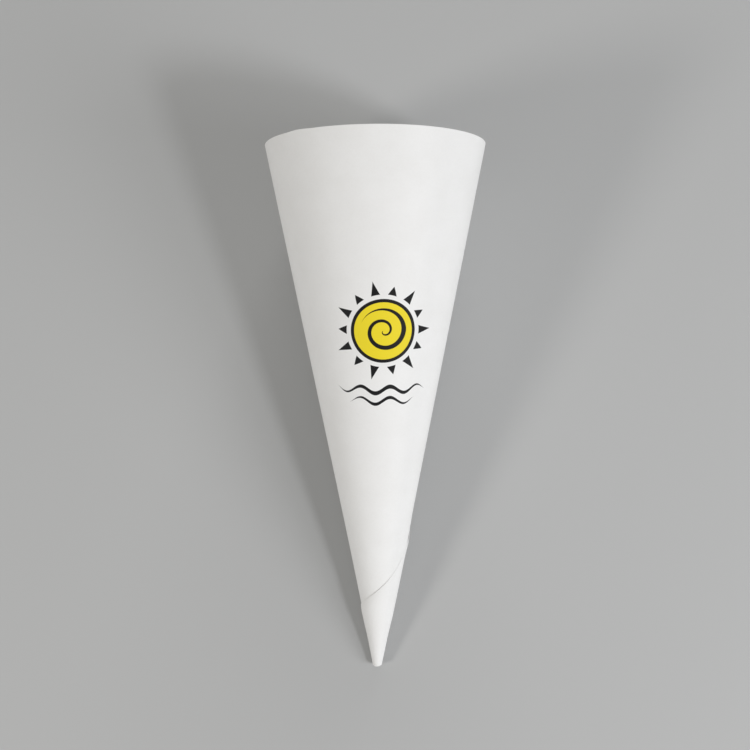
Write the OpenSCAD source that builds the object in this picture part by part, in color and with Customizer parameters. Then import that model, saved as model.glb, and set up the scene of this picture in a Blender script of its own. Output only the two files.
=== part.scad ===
/* [Blank] */
// Radius of the blank's arc, which is the slant length of the sleeve
blank_r = 142.5; // [110:0.5:180]
// Thickness of the paper
paper_t = 0.3; // [0.2:0.02:0.5]
// Width of the straight strip at the blank's outer edge, whose end wraps the tip as a tail
tail_w = 16.5; // [10:0.5:26]
// Angle of the blank at its tip corner, from the tail's end to the inner edge
blank_angle = 162; // [160:1:180]

/* [Roll] */
// Full angle of the rolled cone, in degrees
cone_angle = 23; // [19:0.5:24.5]
// Where the tail ends, in degrees round the axis from the top line
tail_turn = -228; // [-260:1:-195]
// Glue film between two turns
glue_t = 0.05; // [0.03:0.01:0.1]

/* [Tip] */
// Slant length missing at the middle of the tip
tip_cut = 1; // [0.5:0.1:2]
// How much further the outermost turn stops short, which rounds the tip
tip_round = 1.5; // [0.5:0.1:3]

/* [Rest] */
// How far the mouth's lowest side is pressed flat where the sleeve lies
flat_depth = 0.5; // [0.3:0.1:1]

/* [Hidden] */
full_turn = 360;
table_turn = full_turn / 2;
turn_step = 3;
half_angle = cone_angle / 2;
layer_t = paper_t + glue_t;

// The blank rolls inwards from the tail's end to the inner edge.
inner_turn = tail_turn + blank_angle / sin(half_angle);
steps = ceil((inner_turn - tail_turn) / turn_step);
turns = [for (i = [0:steps]) tail_turn + (inner_turn - tail_turn) * i / steps];

// Distance of a turn's inner face from the innermost face of the roll
function depth(turn) = layer_t * (inner_turn - turn) / full_turn;

// Distance from the tip at which the blank ends: along the straight strip, then along the arc
function reach(turn) =
    let (flat = (turn - tail_turn) * sin(half_angle))
    flat < acos(tail_w / blank_r) ? tail_w / cos(flat) : blank_r;

// Distance from the tip at which the blank starts, further out for the outer turns
roll_t = depth(tail_turn) + paper_t;
function start(n) = tip_cut + tip_round * (1 - sqrt(1 - pow(n / roll_t, 2)));

// The sleeve lies on its mouth and on the tail, which props the tip by one layer.
tail_reach = reach(-table_turn);
dip = asin((flat_depth + layer_t) / (blank_r - tail_reach));
lean = half_angle - dip;
lift = (depth(-table_turn) + paper_t) * cos(dip) + tail_reach * sin(dip);

// A point of the rolled paper: s from the tip, n out from the innermost face,
// and no lower than the layers that lie between it and the table
function skin(s, turn, n, under) =
    let (along = s * cos(half_angle) - n * sin(half_angle))
    let (out = s * sin(half_angle) + n * cos(half_angle))
    let (y = along * cos(lean) - out * cos(turn) * sin(lean))
    let (z = along * sin(lean) + out * cos(turn) * cos(lean) + lift)
    [out * sin(turn), y, max(z, under)];

// The paper's section along one straight line of the cone, as four corners
function section(turn) =
    let (n_in = depth(turn))
    let (n_out = n_in + paper_t)
    let (under = floor(turn / full_turn) * layer_t)
    [
        skin(start(n_in), turn, n_in, under + paper_t),
        skin(reach(turn), turn, n_in, under + paper_t),
        skin(reach(turn), turn, n_out, under),
        skin(start(n_out), turn, n_out, under)
    ];

rolled = [for (turn = turns) each section(turn)];
xs = [for (p = rolled) p.x];
ys = [for (p = rolled) p.y];
middle = [(min(xs) + max(xs)) / 2, (min(ys) + max(ys)) / 2, 0];

corners = 4;
last = corners * steps;
skins = [
    for (i = [0:steps - 1], k = [0:corners - 1])
        let (a = corners * i + k, b = corners * i + (k + 1) % corners)
        each [[a, a + corners, b + corners], [a, b + corners, b]]
];
ends = [
    [0, 1, 2],
    [0, 2, 3],
    [last, last + 2, last + 1],
    [last, last + 3, last + 2]
];

// The sleeve: one sheet of paper, rolled into a cone with its tail round the tip
module paper_sleeve() {
    color("whitesmoke")
        polyhedron(points = [for (p = rolled) p - middle], faces = concat(skins, ends));
}

paper_sleeve();
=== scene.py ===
from math import acos, asin, cos, pi, radians, sin

import bmesh
import bpy
import numpy as np
from mathutils import Euler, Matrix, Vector


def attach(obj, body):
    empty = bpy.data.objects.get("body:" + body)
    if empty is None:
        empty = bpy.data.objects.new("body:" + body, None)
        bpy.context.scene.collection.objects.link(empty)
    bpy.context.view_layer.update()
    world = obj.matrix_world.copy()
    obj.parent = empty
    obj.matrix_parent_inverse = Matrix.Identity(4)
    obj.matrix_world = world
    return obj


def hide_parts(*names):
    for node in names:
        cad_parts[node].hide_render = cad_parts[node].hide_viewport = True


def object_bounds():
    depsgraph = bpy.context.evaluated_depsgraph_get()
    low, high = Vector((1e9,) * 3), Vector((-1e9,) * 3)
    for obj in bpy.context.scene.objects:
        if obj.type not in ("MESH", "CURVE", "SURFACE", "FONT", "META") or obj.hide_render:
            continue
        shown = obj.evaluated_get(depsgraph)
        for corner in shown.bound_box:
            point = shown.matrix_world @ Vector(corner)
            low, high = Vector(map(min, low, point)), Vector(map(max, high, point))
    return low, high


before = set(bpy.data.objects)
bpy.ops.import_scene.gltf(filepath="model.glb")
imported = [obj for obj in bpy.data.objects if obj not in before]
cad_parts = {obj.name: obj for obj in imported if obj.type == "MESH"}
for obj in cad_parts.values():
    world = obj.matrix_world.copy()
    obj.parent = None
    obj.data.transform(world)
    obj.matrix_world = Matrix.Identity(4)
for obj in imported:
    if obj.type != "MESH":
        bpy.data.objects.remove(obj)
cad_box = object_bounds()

# The sleeve is one sheet of white cup paper, cut as a flat blank: a sector of a disc with a straight
# strip along its outer edge. It is rolled into a cone from the inside out and glued under the strip,
# whose end wraps the tip as a tail, so each turn lies one layer outside the turn before it.
full_turn = 2 * pi
blank_r = 0.1425
blank_angle = radians(162)
paper_t = 0.0003
glue_t = 0.00005
layer_t = paper_t + glue_t
tail_w = 0.0168
cone_angle = radians(23)
half_angle = cone_angle / 2
tail_turn = radians(-228)
inner_turn = tail_turn + blank_angle / sin(half_angle)
rim_turn = tail_turn + acos(tail_w / blank_r) / sin(half_angle)
tip_cut = 0.002
tip_round = 0.0013
tip_slant = 0.00012
flat_depth = 0.0005
cut_round = 0.00003


def depth(turn):
    """Distance of a turn's inner face from the innermost face of the roll."""
    return layer_t * (inner_turn - turn) / full_turn


def blank_turn(turn):
    """The angle on the flat blank of what lies at this turn of the roll."""
    return (turn - tail_turn) * sin(half_angle)


def reach(turn):
    """Distance from the tip to the blank's edge: along the straight strip, then along the arc."""
    return tail_w / np.cos(blank_turn(np.minimum(turn, rim_turn)))


roll_t = depth(tail_turn) + paper_t


def start(turn, out):
    """Distance from the tip at which the blank starts, further up for the outer turns and on the right."""
    return tip_cut + tip_round * (1 - np.sqrt(1 - (out / roll_t) ** 2)) + tip_slant * np.sin(turn)


# Lying down, the sleeve touches the table with its mouth and with the tail, which props the tip.
tail_reach = reach(-pi)
dip = asin((flat_depth + layer_t) / (blank_r - tail_reach))
lean = half_angle - dip
lift = (depth(-pi) + paper_t) * cos(dip) + tail_reach * sin(dip)


def rolled(s, turn, out):
    """A point of the round roll: s from the tip, out from the innermost face."""
    along = s * cos(half_angle) - out * sin(half_angle)
    away = s * sin(half_angle) + out * cos(half_angle)
    y = along * cos(lean) - away * np.cos(turn) * sin(lean)
    z = along * sin(lean) + away * np.cos(turn) * cos(lean) + lift
    return np.stack([away * np.sin(turn), y, z], -1)


# Each straight line of the cone gives one section of the paper: up its inner face, over the cut edge,
# down its outer face and round the start. Rows crowd towards the edges.
row_count = 40
rows = (1 - np.cos(np.linspace(0, pi, row_count + 1))) / 2
turn_step = radians(2)
end_turn = radians(0.3)
turns = np.unique(np.r_[
    np.arange(tail_turn, inner_turn, turn_step),
    tail_turn + end_turn, rim_turn, inner_turn - end_turn, inner_turn,
])[:, None]
low, high = depth(turns), depth(turns) + paper_t
ends = np.zeros_like(turns)
ends[[0, -1]] = cut_round
edge = reach(turns)
start_in, start_out = start(turns, low), start(turns, high)
face_in = start_in + cut_round + rows * (edge - start_in - 2 * cut_round)
face_out = start_out + cut_round + rows * (edge - start_out - 2 * cut_round)
s = np.hstack([face_in, edge, edge, face_out[:, ::-1], start_out, start_in])
face = np.zeros_like(rows) + low
out = np.hstack([
    face + ends, low + cut_round, high - cut_round,
    face + paper_t - ends, high - cut_round, low + cut_round,
])

# Each section's corners come in six stretches, some on the printed side and some on a cut edge.
stretches = [row_count + 1, 1, 1, row_count + 1, 1, 1]
side = np.tile(np.repeat([0.0, 0.0, 1.0, 1.0, 1.0, 0.0], stretches), (len(turns), 1))
cut = np.tile(np.repeat([0.0, 1.0, 1.0, 0.0, 1.0, 1.0], stretches), (len(turns), 1))
cut[[0, -1]] = 1

# The strip is glued down along its edge and pressed thin there, hardest from its right side on,
# where the glue film is squeezed out as well.
thin_w, thin_h = 0.0022, 0.00018
hard_thin_h, hard_glue_h = 0.00006, 0.00004
hard_turn, hard_over = radians(17), radians(26)
from_strip = np.where(turns < rim_turn, tail_w - s * np.cos(blank_turn(turns)), thin_w)
near = np.clip(1 - from_strip / thin_w, 0, 1) ** 2
hard = np.clip((turns - hard_turn) / hard_over, 0, 1)
thin = (thin_h + hard_thin_h * hard) * (out - low) / paper_t + hard_glue_h * hard

# Where the strip's edge crosses the right side, the whole roll swells a little.
swell_h, swell_s, swell_half, swell_turn = 0.00033, 0.037, 0.0055, radians(90)
swell = swell_h * (1 + np.cos(pi * np.clip((s - swell_s) / swell_half, -1, 1))) / 2
swell = swell * np.clip(np.cos(turns - swell_turn), 0, 1) ** 4

# The roll is drawn tight at the tip, fully over half of tight_s and then less and less.
tight_h, tight_s = 0.0002, 0.018
tight = np.clip(2 - 2 * s / tight_s, 0, 1)
inward = tight_h * tight ** 2 * (3 - 2 * tight) + thin * near - swell

# The cut of the rim has a faint corner left of the front.
corner_h, corner_s, corner_turn, corner_half = 0.00019, 0.005, radians(319), radians(8.5)
corner = np.clip(1 - abs(turns - corner_turn) / corner_half, 0, 1)
longer = corner_h * corner * np.clip((s - blank_r) / corner_s + 1, 0, 1)
places = rolled(s + longer, turns, out - inward)

# Where the table would be above the round roll, the paper is pressed up to it and bends away gently.
# Under a point lie the rest of its own layer and the layers outside it, which keep it off the table.
under = np.floor(turns / full_turn) * layer_t + high - out
below = under - rolled(edge + 0 * out, turns, out)[..., 2]
ease = flat_depth / 4
pressed = np.clip(below + ease, 0, 2 * ease) ** 2 / (4 * ease) + np.maximum(below - ease, 0)
places[..., 2] += pressed * (s - start_in) / (edge - start_in)

# Rolled by hand, the tip's end strays a little to the left.
stray, stray_s = 0.00036, 0.045
places[..., 0] -= stray * np.clip(1 - s / stray_s, 0, 1) ** 2

# The rim lies where the frame has it, and the roll is centred between the sides.
nearest, furthest = places.min((0, 1)), places.max((0, 1))
places -= [(nearest[0] + furthest[0]) / 2, furthest[1] - cad_box[1][1], 0]

# The sections join into one closed skin, with a cap over the first one and the last one.
columns, corners = s.shape
at = np.arange(columns * corners).reshape(columns, corners)
beside = np.roll(at, -1, 1)
walls = np.stack([at[:-1], beside[:-1], beside[1:], at[1:]], -1).reshape(-1, 4)
opposite = np.arange(2 * row_count + 3, row_count + 2, -1)
ladder = np.stack([np.arange(row_count), opposite[:-1], opposite[1:], np.arange(1, row_count + 1)], -1)
mouth_end = [[row_count, row_count + 3, row_count + 2, row_count + 1]]
tip_end = [[2 * row_count + 3, 0, corners - 1, corners - 2]]
cap = np.vstack([ladder, mouth_end, tip_end])
faces = np.vstack([walls, at[0][cap], at[-1][cap]])
shape = bpy.data.meshes.new("paper_sleeve_roll")
shape.from_pydata(places.reshape(-1, 3), [], faces.tolist())
work = bmesh.new()
work.from_mesh(shape)
bmesh.ops.recalc_face_normals(work, faces=work.faces)
work.to_mesh(shape)
work.free()
sharp_angle = radians(30)
shape.shade_smooth()
shape.set_sharp_from_angle(angle=sharp_angle)

# The print's own map lies on the flat blank, with its middle a little right of the line that faces up.
print_turn = full_turn + radians(5)
print_s = 0.0925
turned = blank_turn(turns) - blank_turn(print_turn)
blank_map = np.stack([s * np.sin(turned), s * np.cos(turned) - print_s], -1).reshape(-1, 2) / blank_r
corner_of = np.zeros(len(shape.loops), dtype=np.int32)
shape.loops.foreach_get("vertex_index", corner_of)
shape.uv_layers.new(name="blank").data.foreach_set("uv", blank_map[corner_of].ravel())
for name, values in (("printed_side", side), ("cut_edge", cut)):
    shape.attributes.new(name, "FLOAT", "POINT").data.foreach_set("value", values.ravel())

sleeve = bpy.data.objects.new("paper_sleeve_roll", shape)
bpy.context.scene.collection.objects.link(sleeve)
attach(sleeve, "root")
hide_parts("paper_sleeve")


# The paper is bleached white, with a smooth clay coat outside, fine fibres that show as faint clouds,
# and a rougher grey core at its cut edges. A sun over two waves is printed on its front in two inks.
class Socket:
    """An output in a material. Arithmetic on it adds Math nodes."""

    def __init__(self, tree, output=None):
        self.tree, self.output = tree, output

    def node(self, kind, settings, sockets, result=0):
        made = self.tree.nodes.new("ShaderNode" + kind)
        for name, value in settings.items():
            setattr(made, name, value)
        for name, value in sockets.items():
            if isinstance(value, Socket):
                self.tree.links.new(value.output, made.inputs[name])
            else:
                made.inputs[name].default_value = value
        return Socket(self.tree, made.outputs[result] if made.outputs else None)

    def math(self, operation, *values, clamp=False):
        settings = {"operation": operation, "use_clamp": clamp}
        return self.node("Math", settings, dict(enumerate(values)))

    def __add__(self, other):
        return self.math("ADD", self, other)

    def __sub__(self, other):
        return self.math("SUBTRACT", self, other)

    def __rsub__(self, other):
        return self.math("SUBTRACT", other, self)

    def __mul__(self, other):
        return self.math("MULTIPLY", self, other)

    def __truediv__(self, other):
        return self.math("DIVIDE", self, other)

    def __abs__(self):
        return self.math("ABSOLUTE", self)

    __radd__ = __add__
    __rmul__ = __mul__

    def within(self, soft):
        """1 where this is below zero and 0 above, with an edge that is soft wide."""
        return self.math("MULTIPLY_ADD", self, -1 / soft, 0.5, clamp=True)

    def over(self, other):
        """The greater of the two."""
        return self.math("MAXIMUM", self, other)

    def tint(self, base, colour):
        """base where this is 0, colour where it is 1."""
        return self.node("Mix", {"data_type": "RGBA"}, {0: self, 6: base, 7: colour}, 2)


paper = bpy.data.materials.new("white_cup_paper")
paper.use_nodes = True
paper.node_tree.nodes.clear()
finish = Socket(paper.node_tree)
spot = finish.node("TexCoord", {}, {}, "Object")
outside = finish.node("Attribute", {"attribute_name": "printed_side"}, {}, "Fac")
core = finish.node("Attribute", {"attribute_name": "cut_edge"}, {}, "Fac")
clouds = finish.node("TexNoise", {}, {"Vector": spot, "Scale": 130, "Detail": 5, "Roughness": 0.6})
fibres = finish.node("TexNoise", {}, {"Vector": spot, "Scale": 1900, "Detail": 4, "Roughness": 0.65})
grain = finish.node("TexNoise", {}, {"Vector": spot, "Scale": 4200, "Detail": 2, "Roughness": 0.6})
white = (0.862, 0.862, 0.855, 1)
shade = (0.815, 0.812, 0.80, 1)
core_grey = (0.74, 0.735, 0.715, 1)
cloud_mid, cloud_show = 0.42, 1.6
fibre_mid, fibre_show = 0.5, 0.9
shade_least, core_show = 0.15, 0.6
mottle = (clouds - cloud_mid) * cloud_show + (fibres - fibre_mid) * fibre_show
sheet = finish.math("ADD", mottle, shade_least, clamp=True).tint(white, shade)
sheet = (core * core_show).tint(sheet, core_grey)

# The drawing is worked out in millimetres on the flat blank, from the middle of the sun.
blank_mm = blank_r * 1000
ink_edge = 0.09
plan = finish.node("UVMap", {"uv_map": "blank"}, {})
across = finish.node("SeparateXYZ", {}, {0: plan}, "X") * blank_mm
upward = finish.node("SeparateXYZ", {}, {0: plan}, "Y") * blank_mm
radius = finish.math("SQRT", across * across + upward * upward)
bearing = finish.math("ARCTAN2", upward, across)

sun_r, sun_line = 7.6, 0.42
disc = (radius - sun_r).within(ink_edge)
outline = (abs(radius - sun_r) - sun_line).within(ink_edge)

ray_count = 14
ray_turn = full_turn / ray_count
ray_from, ray_to, ray_short, ray_half = 9.1, 12.6, 1.3, 1.1
off_ray = finish.math("PINGPONG", bearing, ray_turn / 2) * radius
odd = finish.math("PINGPONG", bearing, ray_turn) / ray_turn
ray_end = ray_to - odd * ray_short
ray_width = (ray_end - radius) / (ray_end - ray_from) * ray_half
rays = (off_ray - ray_width).within(ink_edge) * (ray_from - radius).within(ink_edge)

swirl_pitch, swirl_r, swirl_thin, swirl_grow = 3.3, 5.7, 0.12, 0.1
phase = finish.math("FRACT", radius / swirl_pitch - bearing / full_turn)
off_swirl = abs(phase - 0.5) * swirl_pitch
swirl_width = radius * swirl_grow + swirl_thin
swirl = (off_swirl - swirl_width).within(ink_edge) * (radius - swirl_r).within(ink_edge)

wave_pitch, wave_h = 7.2, 0.85
lines = outline.over(rays).over(swirl)
for wave_y, wave_half, line_half in ((-15.0, 11.5, 0.55), (-17.8, 8.0, 0.45)):
    off_wave = abs(upward - wave_y - finish.math("SINE", across * (full_turn / wave_pitch)) * wave_h)
    taper = (1 - across * across / wave_half ** 2) * line_half
    lines = lines.over((off_wave - taper).within(ink_edge))

yellow = (0.86, 0.70, 0.028, 1)
black = (0.008, 0.008, 0.009, 1)
side_edge = 0.2
front = (0.5 - outside).within(side_edge)
inked = disc.over(lines) * front
colour = (lines * front).tint((disc * front).tint(sheet, yellow), black)

coat_rough, fibre_rough, core_rough, ink_rough = 0.56, 0.16, 0.2, 0.06
rough = coat_rough + (fibres - fibre_mid) * fibre_rough + core * core_rough + inked * ink_rough
fibre_share = 0.6
height = fibres * fibre_share + grain * (1 - fibre_share)
bumps = finish.node("Bump", {}, {"Strength": 0.22, "Distance": 0.00003, "Height": height})
surface = finish.node("BsdfPrincipled", {}, {
    "Base Color": colour, "Roughness": rough, "Normal": bumps, "IOR": 1.45, "Specular IOR Level": 0.22,
})
finish.node("OutputMaterial", {}, {"Surface": surface})
shape.materials.append(paper)

# The sleeve lies on a plain, pale grey table top. It is one flat, matt board, far wider than the
# picture, with its upper face at the frame's ground.
table_half = 1.6
table_grey = (0.46, 0.465, 0.465, 1)
table_corners = [(x * table_half, y * table_half, 0) for x, y in ((-1, -1), (1, -1), (1, 1), (-1, 1))]
table_shape = bpy.data.meshes.new("table_top")
table_shape.from_pydata(table_corners, [], [(0, 1, 2, 3)])
table = bpy.data.objects.new("table_top", table_shape)
bpy.context.scene.collection.objects.link(table)
grey = bpy.data.materials.new("pale_grey_top")
grey.use_nodes = True
grey.node_tree.nodes.clear()
top = Socket(grey.node_tree)
top_surface = top.node("BsdfPrincipled", {}, {
    "Base Color": table_grey, "Roughness": 0.6, "Specular IOR Level": 0.3,
})
top.node("OutputMaterial", {}, {"Surface": top_surface})
table_shape.materials.append(grey)

# Three soft lamps stand at the tip's end of the table, two of them on the right, and a low one shines
# into the mouth, in a dim white room. All of them point near the sleeve's middle.
lamp_aim = Vector((0, 0, 0.02))
for name, place, size, power, tone in (
    ("lamp_high", (0.55, -0.41, 0.65), 0.14, 2.35, (0.975, 0.98, 1.0)),
    ("lamp_right", (0.68, -0.30, 0.42), 0.40, 2.75, (0.975, 0.98, 1.0)),
    ("lamp_left", (-0.60, -0.28, 0.43), 0.16, 1.85, (1.0, 0.975, 0.94)),
    ("lamp_mouth", (0.10, 0.85, 0.20), 0.40, 2.8, (1.0, 1.0, 1.0)),
):
    lamp = bpy.data.lights.new(name, "AREA")
    lamp.shape = "DISK"
    lamp.size = size
    lamp.energy = power
    lamp.color = tone
    stand = bpy.data.objects.new(name, lamp)
    stand.location = place
    stand.rotation_euler = (lamp_aim - stand.location).to_track_quat("-Z", "Y").to_euler()
    bpy.context.scene.collection.objects.link(stand)
room = bpy.data.worlds.new("white_room")
room.use_nodes = True
walls_light = room.node_tree.nodes["Background"].inputs
walls_light["Color"].default_value = (1.0, 0.99, 0.965, 1)
walls_light["Strength"].default_value = 0.33
bpy.context.scene.world = room
bpy.context.scene.view_settings.view_transform = "Standard"

# The camera hangs over the sleeve and looks down on it, tilted until it is nearly square to the
# cone's axis and rolled by a fraction of a degree.
camera_tilt, camera_roll = radians(9.9948), radians(-0.3723)
camera = bpy.data.objects.new("camera", bpy.data.cameras.new("camera"))
camera.data.sensor_width = 36
camera.data.lens = 53.381
camera.data.clip_start = 0.01
camera.location = (-0.000445, -0.044882, 0.306023)
camera.rotation_mode = "ZYX"
camera.rotation_euler = Euler((camera_tilt, 0, camera_roll), "ZYX")
bpy.context.scene.collection.objects.link(camera)
bpy.context.scene.camera = camera
